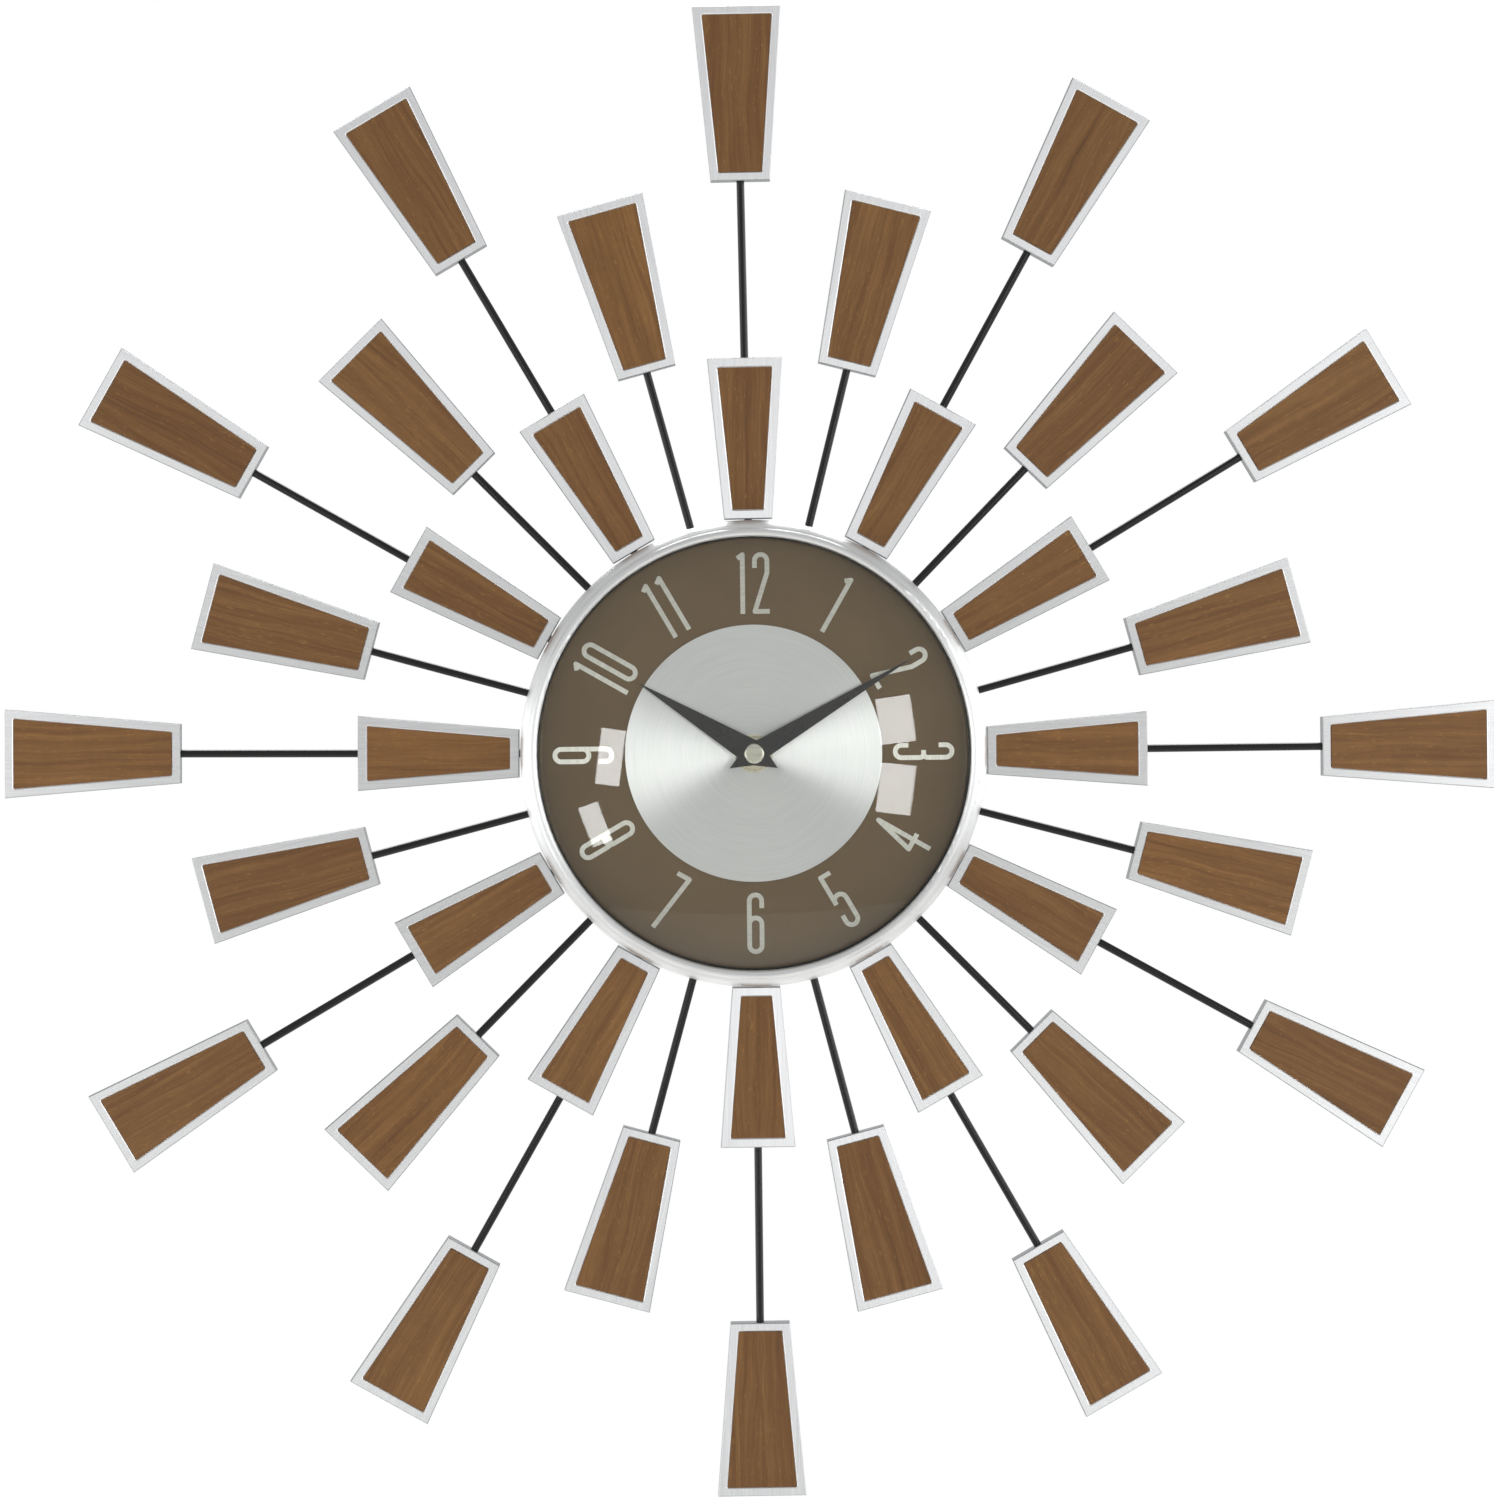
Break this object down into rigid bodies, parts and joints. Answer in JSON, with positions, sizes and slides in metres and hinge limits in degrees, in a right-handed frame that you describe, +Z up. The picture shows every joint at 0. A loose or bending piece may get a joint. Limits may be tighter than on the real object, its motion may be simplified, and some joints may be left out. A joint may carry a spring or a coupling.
{
  "type": "sunburst wall clock",
  "caption": "Round quartz wall clock in a sunburst of black rods that carry framed walnut blades, with a brushed bezel, domed glass, numbered dial, hands, movement and keyhole hanger.",
  "frame": {"origin": "on the axis of the hands, in the plane of the wall", "axes": "+X to the right as the clock is read, +Z up towards twelve, -Y out of the dial towards the reader"},
  "size_m": [0.6102, 0.0481, 0.6102],
  "materials": {
    "black_gloss_metal": "gloss",
    "brushed_aluminium": "brushed",
    "walnut": "satin",
    "black_satin_steel": "satin",
    "black_plastic": "matte",
    "zinc_steel": "satin",
    "taupe_paint": "satin",
    "brushed_disc": "brushed",
    "silver_print": "satin",
    "rubber": "matte",
    "glass": "clear",
    "cell_jacket": "satin",
    "nickel": "polished",
    "white_plastic": "matte",
    "magnet": "matte",
    "copper": "varnished",
    "brass": "satin",
    "board": "satin",
    "hand_paint": "gloss"
  },
  "bodies": {
    "case": {"long_spokes": "black_gloss_metal", "short_spokes": "black_gloss_metal", "outer_blade_frames": "brushed_aluminium", "middle_blade_frames": "brushed_aluminium", "inner_blade_frames": "brushed_aluminium", "outer_blade_panels": "walnut", "middle_blade_panels": "walnut", "inner_blade_panels": "walnut", "rear_drum": "black_satin_steel", "rear_clamp_ring": "black_satin_steel", "case_ring": "black_plastic", "clamp_screws": "zinc_steel", "hanger_plate": "zinc_steel", "hanger_rivets": "zinc_steel", "dial_plate": "taupe_paint", "centre_disc": "brushed_disc", "hour_numerals": "silver_print", "lens_gasket": "rubber", "lens": "glass", "bezel": "brushed_aluminium", "movement_front_case": "black_plastic", "movement_rear_cover": "black_plastic", "positive_contact": "nickel", "negative_contact": "nickel", "stator": "zinc_steel", "coil_bobbin": "white_plastic", "coil_winding": "copper", "circuit_board": "board", "driver_chip": "black_plastic", "quartz_crystal": "nickel", "rubber_washer": "rubber", "brass_washer": "brass", "fixing_nut": "brass"},
    "cell": {"battery": "cell_jacket"},
    "rotor": {"rotor_axle": "white_plastic", "rotor_magnet": "magnet"},
    "intermediate": {"intermediate_wheel": "white_plastic"},
    "seconds": {"seconds_wheel": "white_plastic"},
    "third": {"third_wheel": "white_plastic"},
    "centre": {"centre_wheel": "white_plastic"},
    "minute": {"minute_arbor": "brass", "minute_hand": "hand_paint", "hand_cap_nut": "nickel"},
    "minute_wheel": {"minute_wheel": "white_plastic"},
    "hour": {"hour_wheel": "white_plastic", "hour_hand": "hand_paint"},
    "setting_knob": {"setting_knob": "black_plastic"}
  },
  "joints": [
    {"name": "minute_spin", "type": "hinge", "parent": "case", "child": "minute", "pos_m": [0, -0.02, 0], "axis": [0, 1, 0], "continuous": true},
    {"name": "hour_spin", "type": "hinge", "parent": "case", "child": "hour", "pos_m": [0, -0.02, 0], "axis": [0, 1, 0], "continuous": true},
    {"name": "minute_wheel_spin", "type": "hinge", "parent": "case", "child": "minute_wheel", "pos_m": [0.00891, -0.02, -0.00125], "axis": [0, 1, 0], "continuous": true},
    {"name": "setting_knob_spin", "type": "hinge", "parent": "case", "child": "setting_knob", "pos_m": [0.01836, -0.02, -0.00125], "axis": [0, 1, 0], "continuous": true},
    {"name": "seconds_spin", "type": "hinge", "parent": "case", "child": "seconds", "pos_m": [0, -0.02, 0], "axis": [0, 1, 0], "continuous": true},
    {"name": "intermediate_spin", "type": "hinge", "parent": "case", "child": "intermediate", "pos_m": [0.00324, -0.02, 0.00561], "axis": [0, 1, 0], "continuous": true},
    {"name": "rotor_spin", "type": "hinge", "parent": "case", "child": "rotor", "pos_m": [0.00632, -0.02, 0.01095], "axis": [0, 1, 0], "continuous": true},
    {"name": "third_spin", "type": "hinge", "parent": "case", "child": "third", "pos_m": [-0.0086, -0.02, 0], "axis": [0, 1, 0], "continuous": true},
    {"name": "centre_spin", "type": "hinge", "parent": "case", "child": "centre", "pos_m": [0, -0.02, 0], "axis": [0, 1, 0], "continuous": true},
    {"name": "battery_slide", "type": "slide", "parent": "case", "child": "cell", "axis": [0, 1, 0], "range_m": [0, 0.03]}
  ],
  "couplings": [
    {"joint": "hour_spin", "follows": "minute_spin", "ratio": 0.083333},
    {"joint": "minute_wheel_spin", "follows": "minute_spin", "ratio": -0.33333},
    {"joint": "setting_knob_spin", "follows": "minute_spin", "ratio": 0.83333},
    {"joint": "intermediate_spin", "follows": "seconds_spin", "ratio": -5},
    {"joint": "rotor_spin", "follows": "seconds_spin", "ratio": 30},
    {"joint": "third_spin", "follows": "seconds_spin", "ratio": -0.13333},
    {"joint": "centre_spin", "follows": "seconds_spin", "ratio": 0.016667}
  ]
}
